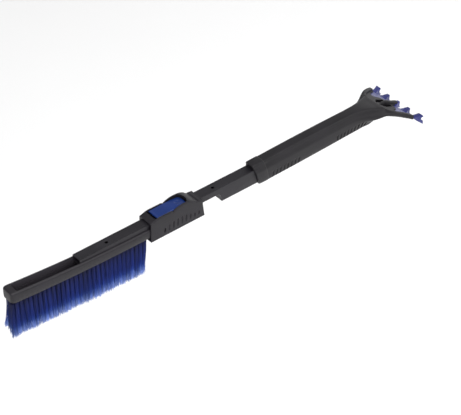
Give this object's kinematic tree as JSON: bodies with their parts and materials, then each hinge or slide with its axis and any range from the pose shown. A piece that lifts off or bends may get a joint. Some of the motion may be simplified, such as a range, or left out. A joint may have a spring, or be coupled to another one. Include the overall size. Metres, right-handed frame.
{
  "type": "snow_brush_scraper",
  "caption": "Telescopic car snow brush: bristle head that slides on a lockable tube with a see-saw release lever, long ribbed grip that flares into a toothed fishtail ice scraper",
  "frame": {"origin": "centre of the lock housing's flat underside, right below the lock pin", "axes": "+X along the tube to the scraper, +Z the lever side, bristles hang to -Z"},
  "size_m": [0.851, 0.1118, 0.1048],
  "materials": {
    "black_plastic": "fine moulded grain",
    "black_grip": "fine moulded grain",
    "black_tube": "smooth drawn, light rubbing marks",
    "blue_lever": "satin",
    "blue_blade": "gloss",
    "blue_bristle": "filaments with frosted split tips",
    "steel": "zinc plated"
  },
  "bodies": {
    "handle": {"slide_tube": "black_tube", "grip_frame": "black_grip", "ice_blade": "blue_blade", "tube_screw_1": "steel", "tube_screw_2": "steel", "blade_screw_1": "steel", "blade_screw_2": "steel", "blade_screw_3": "steel"},
    "brush_head": {"brush_block": "black_plastic", "bristle_row_1": "blue_bristle", "bristle_row_2": "blue_bristle", "bristle_row_3": "blue_bristle", "bristle_row_4": "blue_bristle", "lock_housing": "black_plastic", "housing_screw_1": "steel", "housing_screw_2": "steel", "lever_pivot_pin": "steel", "lever_spring": "steel"},
    "lever": {"release_lever": "blue_lever"},
    "lock_pin_body": {"lock_pin": "steel"}
  },
  "joints": [
    {"name": "head_slide", "type": "slide", "parent": "handle", "child": "brush_head", "axis": [1, 0, 0], "range_m": [-0.11, 0.11]},
    {"name": "lever_hinge", "type": "hinge", "parent": "brush_head", "child": "lever", "pos_m": [0.025, 0, 0.0381], "axis": [0, 1, 0], "range_deg": [-5, 5]},
    {"name": "pin_slide", "type": "slide", "parent": "brush_head", "child": "lock_pin_body", "axis": [0, 0, 1], "range_m": [-0.0022, 0.0022]}
  ],
  "couplings": [
    {"joint": "pin_slide", "follows": "lever_hinge", "m_per_rad": 0.025}
  ]
}
